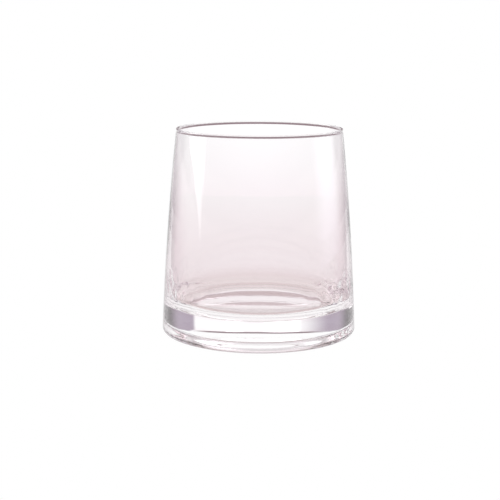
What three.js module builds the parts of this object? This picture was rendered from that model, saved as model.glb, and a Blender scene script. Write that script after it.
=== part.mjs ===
// A tapered double old-fashioned tumbler: one piece of clear glass, wide at the base, drawn in
// slightly towards a fire-polished rim, with a heavy solid base under a round-cornered well.
// Millimetres, +Z up. The origin is the centre of the ring that the tumbler stands on.
import * as THREE from "three";

// Driving dimensions.
const HEIGHT = 90;
const BASE_RADIUS = 43.1; // outer wall, carried down to the table
const RIM_RADIUS = 36.2; // outer wall, carried up to the rim's height
const WALL_BOW = 0.8; // how far the outer wall swells past a straight taper, halfway up
const HEEL_RADIUS = 1.8; // rounding between the outer wall and the foot
const BEAD_RADIUS = 0.45; // the fire-polished rim, a little thicker than the wall under it
const RIM_WALL = 0.8; // wall thickness under the bead
const LOW_WALL = 2.4; // wall thickness where the well's corner starts
const FLOOR_HEIGHT = 8.7; // middle of the well's floor, above the table
const FLOOR_DISH = 4.6; // how far the dished floor would climb by the time it reached the wall
const CORNER_WIDTH = 8; // the rounding between floor and wall: half an ellipse's width
const CORNER_HEIGHT = 5; // and half its height
const FOOT_INNER_RADIUS = 36; // inside edge of the flat ring that the tumbler stands on
const RECESS_SLOPE = 3; // width of the slope from the foot ring up into the recess
const RECESS_DEPTH = 3.35; // how far the recess lies above the table at the top of that slope
const RECESS_DOME = 0.1; // further rise to the middle of the recess

// How finely the round stretches are cut. The faces are flat between these steps.
const SIDES = 72;
const HEEL_STEPS = 4;
const WALL_STEPS = 8;
const BEAD_STEPS = 6;
const CORNER_STEPS = 7;
const FLOOR_STEPS = 6;
const DOME_STEPS = 3;
const SLOPE_STEPS = 5;

const CORNER_TOP = FLOOR_HEIGHT + FLOOR_DISH + CORNER_HEIGHT;
const BEAD_CENTRE = HEIGHT - BEAD_RADIUS;
const RECESS_RADIUS = FOOT_INNER_RADIUS - RECESS_SLOPE;

function outerRadius(z) {
  const up = z / HEIGHT;
  return BASE_RADIUS + (RIM_RADIUS - BASE_RADIUS) * up + 4 * WALL_BOW * up * (1 - up);
}

function wallThickness(z) {
  const up = (z - CORNER_TOP) / (BEAD_CENTRE - CORNER_TOP);
  return LOW_WALL + (RIM_WALL - LOW_WALL) * up;
}

function innerRadius(z) {
  return outerRadius(z) - wallThickness(z);
}

// Points of a circular arc from one angle to another, in radians, both ends included.
function arc(centreRadius, centreHeight, radius, from, to, steps) {
  return Array.from({ length: steps + 1 }, (_, i) => {
    const a = from + ((to - from) * i) / steps;
    return new THREE.Vector2(
      centreRadius + radius * Math.cos(a),
      centreHeight + radius * Math.sin(a),
    );
  });
}

// Points at evenly spaced steps between two values, both ends left out.
function stretch(from, to, steps, pointAt) {
  return Array.from({ length: steps - 1 }, (_, i) =>
    pointAt(from + ((to - from) * (i + 1)) / steps),
  );
}

// The underside from its middle to the flat ring: a barely domed recess, then an S-shaped slope.
function recess() {
  const dome = (r) => RECESS_DEPTH + RECESS_DOME * (1 - (r / RECESS_RADIUS) ** 2);
  const slope = (t) => RECESS_DEPTH * (1 - t * t * (3 - 2 * t));
  return [
    new THREE.Vector2(0, dome(0)),
    ...stretch(0, RECESS_RADIUS, DOME_STEPS, (r) => new THREE.Vector2(r, dome(r))),
    new THREE.Vector2(RECESS_RADIUS, RECESS_DEPTH),
    ...stretch(0, 1, SLOPE_STEPS, (t) =>
      new THREE.Vector2(RECESS_RADIUS + RECESS_SLOPE * t, slope(t)),
    ),
    new THREE.Vector2(FOOT_INNER_RADIUS, 0),
  ];
}

function heel() {
  const centre = outerRadius(HEEL_RADIUS) - HEEL_RADIUS;
  return arc(centre, HEEL_RADIUS, HEEL_RADIUS, -Math.PI / 2, 0, HEEL_STEPS);
}

function outerWall() {
  return stretch(
    HEEL_RADIUS,
    BEAD_CENTRE - BEAD_RADIUS,
    WALL_STEPS,
    (z) => new THREE.Vector2(outerRadius(z), z),
  );
}

// The rim: a round bead centred on the wall's own middle line, meeting the wall below its centre.
function rimBead() {
  const middle = outerRadius(BEAD_CENTRE) - RIM_WALL / 2;
  const dip = Math.acos(RIM_WALL / 2 / BEAD_RADIUS);
  return arc(middle, BEAD_CENTRE, BEAD_RADIUS, -dip, Math.PI + dip, BEAD_STEPS);
}

function innerWall() {
  return stretch(
    BEAD_CENTRE - BEAD_RADIUS,
    CORNER_TOP,
    WALL_STEPS,
    (z) => new THREE.Vector2(innerRadius(z), z),
  );
}

// Height of the dished floor at a distance from the axis.
function dish(r) {
  return FLOOR_HEIGHT + FLOOR_DISH * (r / innerRadius(CORNER_TOP)) ** 2;
}

// From the wall round to the floor: a quarter of an ellipse, standing on the dish.
function wellCorner() {
  const start = innerRadius(CORNER_TOP) - CORNER_WIDTH;
  return Array.from({ length: CORNER_STEPS + 1 }, (_, i) => {
    const a = ((Math.PI / 2) * i) / CORNER_STEPS;
    const r = start + CORNER_WIDTH * Math.cos(a);
    return new THREE.Vector2(r, dish(r) + CORNER_HEIGHT * (1 - Math.sin(a)));
  });
}

// The dished floor, from the corner to the middle.
function wellFloor() {
  const edge = innerRadius(CORNER_TOP) - CORNER_WIDTH;
  return [
    ...stretch(edge, 0, FLOOR_STEPS, (r) => new THREE.Vector2(r, dish(r))),
    new THREE.Vector2(0, FLOOR_HEIGHT),
  ];
}

function tumblerMaterial() {
  return new THREE.MeshStandardMaterial({
    color: new THREE.Color(0.95, 0.92, 0.94),
    roughness: 0.03,
    metalness: 0,
    transparent: true,
    opacity: 0.3,
  });
}

function tumblerBody() {
  const outline = [
    ...recess(),
    ...heel(),
    ...outerWall(),
    ...rimBead(),
    ...innerWall(),
    ...wellCorner(),
    ...wellFloor(),
  ];
  const body = new THREE.Mesh(new THREE.LatheGeometry(outline, SIDES), tumblerMaterial());
  body.name = "tumbler_body";
  body.rotation.x = Math.PI / 2; // the lathe turns about Y, and the tumbler stands along Z
  return body;
}

const tumbler = new THREE.Group();
tumbler.add(tumblerBody());

export default tumbler;
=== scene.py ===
"""A clear glass tumbler on a pale studio floor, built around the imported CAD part."""
import math

import bpy
import numpy as np
from mathutils import Euler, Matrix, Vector, noise


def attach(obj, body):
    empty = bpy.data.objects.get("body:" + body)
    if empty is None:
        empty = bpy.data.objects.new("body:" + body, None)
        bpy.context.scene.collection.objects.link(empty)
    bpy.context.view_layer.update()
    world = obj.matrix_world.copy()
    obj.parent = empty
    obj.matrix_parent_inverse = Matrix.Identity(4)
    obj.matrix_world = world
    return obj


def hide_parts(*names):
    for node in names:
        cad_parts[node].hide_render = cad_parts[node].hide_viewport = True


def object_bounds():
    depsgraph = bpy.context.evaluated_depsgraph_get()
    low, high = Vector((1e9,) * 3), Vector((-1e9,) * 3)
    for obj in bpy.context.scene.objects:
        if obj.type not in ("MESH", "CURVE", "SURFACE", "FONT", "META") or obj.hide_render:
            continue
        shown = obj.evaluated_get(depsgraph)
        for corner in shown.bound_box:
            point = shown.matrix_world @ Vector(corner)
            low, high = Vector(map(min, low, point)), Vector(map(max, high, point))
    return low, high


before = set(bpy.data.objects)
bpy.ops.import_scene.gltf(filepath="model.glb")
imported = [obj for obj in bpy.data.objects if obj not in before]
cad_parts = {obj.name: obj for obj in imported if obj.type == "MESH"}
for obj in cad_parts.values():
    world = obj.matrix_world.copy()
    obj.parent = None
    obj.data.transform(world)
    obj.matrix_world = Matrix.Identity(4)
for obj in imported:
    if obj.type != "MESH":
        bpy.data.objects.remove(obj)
cad_low, cad_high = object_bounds()

MM = 0.001
WHITE = (1, 1, 1)

# The tumbler's shape, in metres. The height and the widest radius come from the CAD part.
HEIGHT = cad_high.z
WIDEST = cad_high.x
SURFACE_WAVE = 0.02 * MM  # waviness of the outer wall
HEEL_TAPER = 0.05 * MM  # how far the wall, carried down to the table, passes the widest radius
BASE_RADIUS = WIDEST + HEEL_TAPER - SURFACE_WAVE
RIM_RADIUS = 36.2 * MM
WALL_BOW = 0.8 * MM
HEEL_RADIUS = 1.8 * MM
BEAD_RADIUS = 0.45 * MM
RIM_WALL = 0.8 * MM
LOW_WALL = 2.4 * MM
FLOOR_HEIGHT = 8.7 * MM
FLOOR_DISH = 4.6 * MM
CORNER_WIDTH = 8 * MM
CORNER_HEIGHT = 5 * MM
FOOT_INNER_RADIUS = 36 * MM
RECESS_SLOPE = 3 * MM
RECESS_DEPTH = 3.35 * MM
RECESS_DOME = 0.1 * MM

CORNER_TOP = FLOOR_HEIGHT + FLOOR_DISH + CORNER_HEIGHT
BEAD_CENTRE = HEIGHT - BEAD_RADIUS
RECESS_RADIUS = FOOT_INNER_RADIUS - RECESS_SLOPE

# How finely each stretch of the section is cut.
SIDES = 256
DOME_STEPS = 24
SLOPE_STEPS = 20
FOOT_STEPS = 6
HEEL_STEPS = 14
WALL_STEPS = 80
BEAD_STEPS = 24
WELL_STEPS = 48

# Irregularities of the surface: depth, length from wave to wave, and where they are.
WALL_LENGTH = 11 * MM
OUTER_MARGIN = 0.1 * MM  # points this far outside the inner wall belong to the outer wall
RIGHT_WAVE = 0.9 * MM
RIGHT_LENGTH = 3.6 * MM
LEFT_WAVE = 0.5 * MM
LEFT_LENGTH = 2.8 * MM
WAVES_LOW = 14 * MM
WAVES_HIGH = 22 * MM
WAVES_SOFT = 10 * MM
WAVES_INNER = 33 * MM  # they fade in over the next stretch outwards
WAVES_FADE = 4 * MM
WAVY_WALL_POINTS = 60  # points of the inner wall above the well that may be wavy
RING_WAVE = 0.01 * MM
RING_LENGTH = 1.9 * MM
RINGS_OUTER = 29 * MM

# The camera: just above the rim's height, looking slightly down.
CAMERA_DISTANCE = 0.517
CAMERA_HEIGHT = 0.1363
CAMERA_LENS = 85.4
CAMERA_AIM = Vector((-0.00396, 0, 0.03575))
CAMERA_ROLL = math.radians(0.22)

# The glass. Heights and radii say where each tint starts and where it is full.
IOR = 1.52
# painted shade: a rose that deepens down the wall, standing in for the dim rose surroundings seen
# through the glass
WALL_PAINTED_SHADE = (0.93, 0.878, 0.892)
WALL_PAINTED_SHADE_TOP = 90 * MM
WALL_PAINTED_SHADE_FULL = 24 * MM
BASE_CLEAR_TOP = 11.5 * MM
BASE_CLEAR_END = 14 * MM
INSIDE_START = 41.4 * MM
INSIDE_END = 40.8 * MM
# painted shade in the well's inner corner
CORNER_PAINTED_SHADE = (0.78, 0.69, 0.68)
CORNER_PAINTED_SHADE_TOP = 22 * MM
CORNER_PAINTED_SHADE_FULL = 12.5 * MM
CORNER_PAINTED_SHADE_FOOT = 11 * MM
WELL_FLOOR = (7.5 * MM, 15 * MM, 0.8 * MM)  # low, high, softness
# painted shade: a darker ring on the well's floor, standing in for dark arcs the glass refracts there
RING_PAINTED_SHADE = (0.68, 0.59, 0.59)
RING_BAND = (27.5 * MM, 34.5 * MM, 1.0 * MM)
OUTLINE_TOP = 95 * MM
OUTLINE_FULL = 30 * MM
# painted shade towards the outline, standing in for the dark room seen in the glass's edges
OUTLINE_BAND_PAINTED_SHADE = (0.85, 0.78, 0.81)
BAND_FACING = (0.35, 0.7)
OUTLINE_EDGE_PAINTED_SHADE = (0.18, 0.14, 0.16)
EDGE_FACING = (0.66, 0.92)
SCUFF_SCALE = 900
SCUFF_TOP = 0.5 * MM
SCUFF_FULL = 0.1 * MM
SCUFF_ROUGHNESS = 0.6

# The studio: what the glass sees. Angles in degrees, azimuth from straight behind the glass
# towards +X, elevation from the horizon. Patches of light are low, high and softness.
FLOOR_RADIUS = 0.35
SWEEP = (1.04, 1.02, 1.03)
SIDE_GROUND = (0.62, 0.57, 0.60)
SIDE_GROUND_BAND = (25.0, 58.0, 8)
HORIZON = (-1, -2)
TOP_DARK = (0.58, 0.49, 0.49)
TOP_RISE = (30.0, 48.0)
SIDE_GREY = (0.42, 0.35, 0.43)
SIDE_DARK = (0.05, 0.035, 0.04)
DARK_TURN = (42, 60)
SIDE_ROOM = (0.55, 0.52, 0.56)
ROOM_TURN = (76, 84)
BACK_ROOM = (0.95, 0.90, 1.0)
BACK_TURN = (100, 178)
BACKDROP = (1.06, 1.04, 1.05)
BACKDROP_RIGHT = 30.0
BACKDROP_RIGHT_SOFT = 1.5
BACKDROP_LEFT_FADE = (-36.0, -12.0)
BACKDROP_TOP = 36.0
BACKDROP_TOP_SOFT = 3
GAP_DARK = (0.26, 0.18, 0.20)
GAP_UPWARD = (-1.0, 12.0, 0.8)
GAP_SIDE_FADE = (32, 18)
LEFT_PANEL = (3.0, 3.0, 3.0)
LEFT_PANEL_START = 58.0
LEFT_PANEL_END = 103.0
LEFT_PANEL_LOW = -4.2
LEFT_PANEL_HIGH = 8
LEFT_PANEL_RISE_SOFT = 1
LEFT_PANEL_TIP = 1  # its width at the bottom
LEFT_PANEL_CURVE = 0.98  # how fast the near edge spreads with the square of the rise
LEFT_PANEL_LEAN = 0.05  # how fast the far edge leans in with the square of the rise
LEFT_PANEL_LEAN_MOST = 9.0
LEFT_PANEL_SOFT = 1.5
RIGHT_PANEL = (1.6, 1.55, 1.7)
RIGHT_PANEL_ACROSS = (66, 98, 11)
RIGHT_PANEL_UPWARD = (-9, 6, 3)
GLOW = (2.4, 2.3, 2.4)
WIDE_GLOW_ACROSS = (-15, -4, 3)
WIDE_GLOW_UPWARD = (13, 26, 3)
SMALL_GLOW_ACROSS = (7, 12, 2)
SMALL_GLOW_UPWARD = (13, 22, 3)
BOUNCES = 48
GLOSSY_BOUNCES = 24


def make_camera():
    data = bpy.data.cameras.new("camera")
    data.lens = CAMERA_LENS
    data.sensor_width = 36
    data.dof.use_dof = False
    data.clip_start = 0.01
    data.clip_end = 20
    camera = bpy.data.objects.new("camera", data)
    bpy.context.scene.collection.objects.link(camera)
    camera.location = (0, -CAMERA_DISTANCE, CAMERA_HEIGHT)
    look = (CAMERA_AIM - camera.location).to_track_quat("-Z", "Y")
    roll = Euler((0, 0, CAMERA_ROLL)).to_quaternion()
    camera.rotation_mode = "QUATERNION"
    camera.rotation_quaternion = look @ roll
    bpy.context.scene.camera = camera


# ---------------------------------------------------------------- node helpers
class Nodes:
    """A node tree with short calls for the nodes that the materials and the world use."""

    def __init__(self, tree):
        self.tree = tree
        tree.nodes.clear()

    def add(self, kind, **settings):
        node = self.tree.nodes.new(kind)
        for key, value in settings.items():
            setattr(node, key, value)
        return node

    def put(self, socket, value):
        """Link an output to the socket, or set the socket to a plain value."""
        if isinstance(value, bpy.types.NodeSocket):
            self.tree.links.new(value, socket)
        elif isinstance(value, tuple):
            socket.default_value = (*value, 1)
        else:
            socket.default_value = value

    def math(self, operation, first, second=None):
        node = self.add("ShaderNodeMath", operation=operation)
        self.put(node.inputs[0], first)
        if second is not None:
            self.put(node.inputs[1], second)
        return node.outputs[0]

    def times(self, first, second):
        return self.math("MULTIPLY", first, second)

    def minus(self, first, second):
        return self.math("SUBTRACT", first, second)

    def ramp(self, value, start, end):
        """0 where the value is at start, 1 where it is at end, smooth in between."""
        node = self.add("ShaderNodeMapRange", interpolation_type="SMOOTHSTEP")
        self.put(node.inputs["Value"], value)
        self.put(node.inputs["From Min"], start)
        self.put(node.inputs["From Max"], end)
        return node.outputs[0]

    def window(self, value, low, high, soft):
        """1 between low and high, with edges that are soft on both sides of each limit."""
        rising = self.ramp(value, low - soft, low + soft)
        falling = self.ramp(value, high + soft, high - soft)
        return self.times(rising, falling)

    def mix(self, mask, first, second):
        """The first colour where the mask is 0, the second where it is 1."""
        node = self.add("ShaderNodeMix", data_type="RGBA")
        self.put(node.inputs[0], mask)
        self.put(node.inputs[6], first)
        self.put(node.inputs[7], second)
        return node.outputs[2]

    def tint(self, mask, colour, tint):
        """The colour multiplied by the tint where the mask is 1."""
        node = self.add("ShaderNodeMix", data_type="RGBA", blend_type="MULTIPLY")
        self.put(node.inputs[0], mask)
        self.put(node.inputs[6], colour)
        self.put(node.inputs[7], tint)
        return node.outputs[2]

    def xyz(self, vector):
        node = self.add("ShaderNodeSeparateXYZ")
        self.put(node.inputs[0], vector)
        return node.outputs["X"], node.outputs["Y"], node.outputs["Z"]


def new_material(name):
    material = bpy.data.materials.new(name)
    material.use_nodes = True
    return material, Nodes(material.node_tree)


# ---------------------------------------------------------------- the tumbler's mesh
def outer_radius(z):
    up = z / HEIGHT
    return BASE_RADIUS + (RIM_RADIUS - BASE_RADIUS) * up + 4 * WALL_BOW * up * (1 - up)


def wall_thickness(z):
    up = (z - CORNER_TOP) / (BEAD_CENTRE - CORNER_TOP)
    return LOW_WALL + (RIM_WALL - LOW_WALL) * up


def inner_radius(z):
    return outer_radius(z) - wall_thickness(z)


def arc(centre_radius, centre_height, radius, start, end, steps):
    angles = np.linspace(start, end, steps + 1)
    return [
        (centre_radius + radius * math.cos(a), centre_height + radius * math.sin(a))
        for a in angles
    ]


def dish(radius):
    """Height of the well's floor at a distance from the axis."""
    return FLOOR_HEIGHT + FLOOR_DISH * (radius / inner_radius(CORNER_TOP)) ** 2


def between(start, end, steps):
    """Evenly spaced values, both ends left out."""
    return np.linspace(start, end, steps + 1)[1:-1]


def onwards(start, end, steps):
    """Evenly spaced values, the last one left out."""
    return np.linspace(start, end, steps + 1)[:-1]


def recess():
    """The underside from its middle to the foot ring: barely domed, then an S-shaped slope."""
    points = [
        (r, RECESS_DEPTH + RECESS_DOME * (1 - (r / RECESS_RADIUS) ** 2))
        for r in between(0, RECESS_RADIUS, DOME_STEPS)
    ]
    for t in onwards(0, 1, SLOPE_STEPS):
        points.append((RECESS_RADIUS + RECESS_SLOPE * t, RECESS_DEPTH * (1 - t * t * (3 - 2 * t))))
    return points


def well():
    """From the wall round the elliptical corner and over the dished floor, to the middle."""
    start = inner_radius(CORNER_TOP) - CORNER_WIDTH
    points = []
    for a in onwards(0, math.pi / 2, WELL_STEPS):
        radius = start + CORNER_WIDTH * math.cos(a)
        points.append((radius, dish(radius) + CORNER_HEIGHT * (1 - math.sin(a))))
    return points + [(r, dish(r)) for r in onwards(start, 0, WELL_STEPS)]


def outline():
    """The section from the underside's middle, round the outside and rim, to the well's middle."""
    heel_centre = outer_radius(HEEL_RADIUS) - HEEL_RADIUS
    bead_foot = BEAD_CENTRE - BEAD_RADIUS
    bead_middle = outer_radius(BEAD_CENTRE) - RIM_WALL / 2
    dip = math.acos(RIM_WALL / 2 / BEAD_RADIUS)
    points = recess()
    points += [(r, 0.0) for r in onwards(FOOT_INNER_RADIUS, heel_centre, FOOT_STEPS)]
    points += arc(heel_centre, HEEL_RADIUS, HEEL_RADIUS, -math.pi / 2, 0, HEEL_STEPS)
    points += [(outer_radius(z), z) for z in between(HEEL_RADIUS, bead_foot, WALL_STEPS)]
    points += arc(bead_middle, BEAD_CENTRE, BEAD_RADIUS, -dip, math.pi + dip, BEAD_STEPS)
    points += [(inner_radius(z), z) for z in between(bead_foot, CORNER_TOP, WALL_STEPS)]
    return points + well()


def hump(value, low, high, soft):
    """1 between low and high, falling smoothly to 0 over soft outside them."""
    edge = min(max((value - low) / soft + 1, 0), 1) * min(max((high - value) / soft + 1, 0), 1)
    return edge * edge * (3 - 2 * edge)


def noise_at(radius, height, angle, length):
    place = Vector((radius * math.cos(angle), radius * math.sin(angle), height))
    return noise.noise(place / length)


def well_wave(radius, height, angle):
    """How far the uneven corner of the well stands off its true shape, inwards."""
    low = hump(height, WAVES_LOW, WAVES_HIGH, WAVES_SOFT)
    side = math.cos(angle) ** 4
    if math.cos(angle) > 0:
        return RIGHT_WAVE * low * side * noise_at(radius, height, angle, RIGHT_LENGTH)
    return LEFT_WAVE * low * side * noise_at(radius, height, angle, LEFT_LENGTH)


def on_outer_wall(radius, height):
    below_rim = HEEL_RADIUS < height < HEIGHT - 2 * BEAD_RADIUS
    return below_rim and radius > inner_radius(height) + OUTER_MARGIN


def uneven(radius, height, angle, in_well):
    """A point of the section at an angle round the axis, with the glass's small irregularities."""
    r = radius
    z = height
    if on_outer_wall(radius, height):
        r += SURFACE_WAVE * noise_at(radius, height, angle, WALL_LENGTH)
    if in_well and radius > WAVES_INNER:
        r -= well_wave(radius, height, angle) * min((radius - WAVES_INNER) / WAVES_FADE, 1)
    if in_well and radius < RINGS_OUTER:
        z += RING_WAVE * math.sin(2 * math.pi * radius / RING_LENGTH)
    return r * math.cos(angle), r * math.sin(angle), z


def turned_faces(rings):
    """Faces of a closed body of revolution whose first and last vertices are its poles."""
    last = 1 + rings * SIDES
    top = last - SIDES
    faces = []
    for i in range(SIDES):
        j = (i + 1) % SIDES
        faces.append((0, 1 + j, 1 + i))
        for k in range(rings - 1):
            low = 1 + k * SIDES
            high = low + SIDES
            faces.append((low + i, low + j, high + j, high + i))
        faces.append((last, top + i, top + j))
    return faces


def make_tumbler():
    points = outline()
    well_start = len(points) - len(well()) - WAVY_WALL_POINTS
    turns = np.arange(SIDES) * 2 * math.pi / SIDES
    vertices = [(0, 0, points[0][1])]
    for number, (radius, height) in enumerate(points):
        vertices += [uneven(radius, height, angle, number > well_start) for angle in turns]
    vertices.append((0, 0, points[-1][1]))
    mesh = bpy.data.meshes.new("tumbler_glass")
    mesh.from_pydata(vertices, [], turned_faces(len(points)))
    mesh.polygons.foreach_set("use_smooth", [True] * len(mesh.polygons))
    mesh.update()
    tumbler = bpy.data.objects.new("tumbler_glass", mesh)
    bpy.context.scene.collection.objects.link(tumbler)
    return tumbler


# ---------------------------------------------------------------- the glass
def outline_painted_shade(nodes, colour, wall):
    """Painted shade: darker towards the outline, where the line of sight runs along the wall, standing
    in for the dark room seen in the glass's edges.
    """
    weight = nodes.add("ShaderNodeLayerWeight")
    weight.inputs["Blend"].default_value = 0.5
    facing = weight.outputs["Facing"]
    band = nodes.times(nodes.ramp(facing, *BAND_FACING), wall)
    colour = nodes.tint(band, colour, OUTLINE_BAND_PAINTED_SHADE)
    edge = nodes.times(nodes.ramp(facing, *EDGE_FACING), wall)
    return nodes.tint(edge, colour, OUTLINE_EDGE_PAINTED_SHADE)


def glass_colour(nodes):
    """The height, and a rose that deepens down the wall, with a darker corner and ring in the well:
    painted shade, as are the darker outlines.
    """
    x, y, height = nodes.xyz(nodes.add("ShaderNodeTexCoord").outputs["Object"])
    # painted shade down the wall, left clear in the base
    low = nodes.ramp(height, WALL_PAINTED_SHADE_TOP, WALL_PAINTED_SHADE_FULL)
    above_base = nodes.ramp(height, BASE_CLEAR_TOP, BASE_CLEAR_END)
    colour = nodes.mix(nodes.times(low, above_base), WHITE, WALL_PAINTED_SHADE)
    reach = nodes.math("SQRT", nodes.math("ADD", nodes.times(x, x), nodes.times(y, y)))
    inside = nodes.ramp(reach, INSIDE_START, INSIDE_END)
    # painted shade in the well's inner corner
    corner = nodes.times(inside, nodes.ramp(height, CORNER_PAINTED_SHADE_TOP, CORNER_PAINTED_SHADE_FULL))
    corner = nodes.times(corner, nodes.ramp(height, CORNER_PAINTED_SHADE_FOOT, CORNER_PAINTED_SHADE_FULL))
    colour = nodes.tint(corner, colour, CORNER_PAINTED_SHADE)
    well_floor = nodes.times(inside, nodes.window(height, *WELL_FLOOR))
    # painted shade: a darker ring on the well's floor
    ring = nodes.times(nodes.window(reach, *RING_BAND), well_floor)
    colour = nodes.tint(ring, colour, RING_PAINTED_SHADE)
    # where the painted outline shade reaches: the wall, not the well's floor
    wall = nodes.minus(nodes.ramp(height, OUTLINE_TOP, OUTLINE_FULL), well_floor)
    return height, outline_painted_shade(nodes, colour, wall)


def clear_glass():
    """Clear glass whose rose colour is painted shade, scuffed where the foot ring stands on the table.
    """
    material, nodes = new_material("clear_glass")
    height, colour = glass_colour(nodes)
    scuffs = nodes.add("ShaderNodeTexNoise")
    scuffs.inputs["Scale"].default_value = SCUFF_SCALE
    worn = nodes.times(nodes.ramp(height, SCUFF_TOP, SCUFF_FULL), scuffs.outputs["Fac"])
    shader = nodes.add("ShaderNodeBsdfPrincipled")
    nodes.put(shader.inputs["Base Color"], colour)
    nodes.put(shader.inputs["Roughness"], nodes.times(worn, SCUFF_ROUGHNESS))
    nodes.put(shader.inputs["IOR"], IOR)
    nodes.put(shader.inputs["Transmission Weight"], 1.0)
    output = nodes.add("ShaderNodeOutputMaterial")
    nodes.put(output.inputs["Surface"], shader.outputs["BSDF"])
    return material


# ---------------------------------------------------------------- the studio
def floor_material():
    """A plain pale floor: one colour for the camera and for the glass alike."""
    material, nodes = new_material("studio_floor")
    shader = nodes.add("ShaderNodeEmission")
    nodes.put(shader.inputs["Color"], WHITE)
    output = nodes.add("ShaderNodeOutputMaterial")
    nodes.put(output.inputs["Surface"], shader.outputs[0])
    return material


def make_floor():
    bpy.ops.mesh.primitive_circle_add(vertices=128, radius=FLOOR_RADIUS, fill_type="NGON")
    floor = bpy.context.object
    floor.name = "studio_floor"
    floor.data.materials.append(floor_material())


def room_colour(nodes, turned, elevation):
    """Purple-grey beside the backdrop, dark at the sides, pale behind the camera, grey overhead."""
    room = nodes.mix(nodes.ramp(turned, *DARK_TURN), SIDE_GREY, SIDE_DARK)
    room = nodes.mix(nodes.ramp(turned, *ROOM_TURN), room, SIDE_ROOM)
    room = nodes.mix(nodes.ramp(turned, *BACK_TURN), room, BACK_ROOM)
    return nodes.mix(nodes.ramp(elevation, *TOP_RISE), room, TOP_DARK)


def backdrop(nodes, azimuth, elevation):
    right = nodes.ramp(
        azimuth,
        BACKDROP_RIGHT + BACKDROP_RIGHT_SOFT,
        BACKDROP_RIGHT - BACKDROP_RIGHT_SOFT,
    )
    across = nodes.times(right, nodes.ramp(azimuth, *BACKDROP_LEFT_FADE))
    upward = nodes.ramp(
        elevation,
        BACKDROP_TOP + BACKDROP_TOP_SOFT,
        BACKDROP_TOP - BACKDROP_TOP_SOFT,
    )
    return nodes.times(across, upward)


def left_panel(nodes, azimuth, elevation):
    """A panel that is narrow at the bottom and spreads along a curve as it rises."""
    rise = nodes.math("MAXIMUM", nodes.minus(elevation, LEFT_PANEL_LOW), 0.0)
    square = nodes.times(rise, rise)
    spread = nodes.times(square, LEFT_PANEL_CURVE)
    near = nodes.minus(LEFT_PANEL_END - LEFT_PANEL_TIP, spread)
    near = nodes.math("MAXIMUM", near, LEFT_PANEL_START)
    lean = nodes.math("MINIMUM", nodes.times(square, LEFT_PANEL_LEAN), LEFT_PANEL_LEAN_MOST)
    far = nodes.minus(LEFT_PANEL_END, lean)
    leftward = nodes.times(azimuth, -1.0)
    past_near = nodes.ramp(nodes.minus(leftward, near), -LEFT_PANEL_SOFT, LEFT_PANEL_SOFT)
    before_far = nodes.ramp(nodes.minus(far, leftward), -LEFT_PANEL_SOFT, LEFT_PANEL_SOFT)
    upward = nodes.window(elevation, LEFT_PANEL_LOW, LEFT_PANEL_HIGH, LEFT_PANEL_RISE_SOFT)
    return nodes.times(nodes.times(past_near, before_far), upward)


def studio_colour(nodes):
    """The studio as the glass sees it, by direction. Each thing covers those mixed in before it."""
    x, y, z = nodes.xyz(nodes.add("ShaderNodeTexCoord").outputs["Generated"])
    azimuth = nodes.math("DEGREES", nodes.math("ARCTAN2", x, y))
    turned = nodes.math("ABSOLUTE", azimuth)
    elevation = nodes.math("DEGREES", nodes.math("ARCSINE", z))
    colour = room_colour(nodes, turned, elevation)
    colour = nodes.mix(backdrop(nodes, azimuth, elevation), colour, BACKDROP)
    # the dark gap between the backdrop and the sweep
    gap = nodes.times(nodes.window(elevation, *GAP_UPWARD), nodes.ramp(turned, *GAP_SIDE_FADE))
    colour = nodes.mix(gap, colour, GAP_DARK)
    # below the horizon, the sweep and the darker ground on both sides of it
    ground = nodes.mix(nodes.window(turned, *SIDE_GROUND_BAND), SWEEP, SIDE_GROUND)
    colour = nodes.mix(nodes.ramp(elevation, *HORIZON), colour, ground)
    # the lights
    colour = nodes.mix(left_panel(nodes, azimuth, elevation), colour, LEFT_PANEL)
    lights = (
        (RIGHT_PANEL, RIGHT_PANEL_ACROSS, RIGHT_PANEL_UPWARD),
        (GLOW, WIDE_GLOW_ACROSS, WIDE_GLOW_UPWARD),
        (GLOW, SMALL_GLOW_ACROSS, SMALL_GLOW_UPWARD),
    )
    for light, across, upward in lights:
        patch = nodes.times(nodes.window(azimuth, *across), nodes.window(elevation, *upward))
        colour = nodes.mix(patch, colour, light)
    return colour


def make_world():
    """Plain white where the camera looks past the glass, the studio on every other path."""
    world = bpy.data.worlds.new("studio")
    world.use_nodes = True
    bpy.context.scene.world = world
    nodes = Nodes(world.node_tree)
    studio = nodes.add("ShaderNodeBackground")
    nodes.put(studio.inputs["Color"], studio_colour(nodes))
    seen = nodes.add("ShaderNodeBackground")
    nodes.put(seen.inputs["Color"], WHITE)
    both = nodes.add("ShaderNodeMixShader")
    nodes.put(both.inputs[0], nodes.add("ShaderNodeLightPath").outputs["Is Camera Ray"])
    nodes.put(both.inputs[1], studio.outputs[0])
    nodes.put(both.inputs[2], seen.outputs[0])
    output = nodes.add("ShaderNodeOutputWorld")
    nodes.put(output.inputs["Surface"], both.outputs[0])


bpy.context.scene.view_settings.view_transform = "Standard"
bpy.context.scene.cycles.max_bounces = BOUNCES
bpy.context.scene.cycles.transmission_bounces = BOUNCES
bpy.context.scene.cycles.glossy_bounces = GLOSSY_BOUNCES
make_camera()
make_world()
make_floor()
tumbler = make_tumbler()
tumbler.data.materials.append(clear_glass())
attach(tumbler, "root")
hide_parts("tumbler_body")
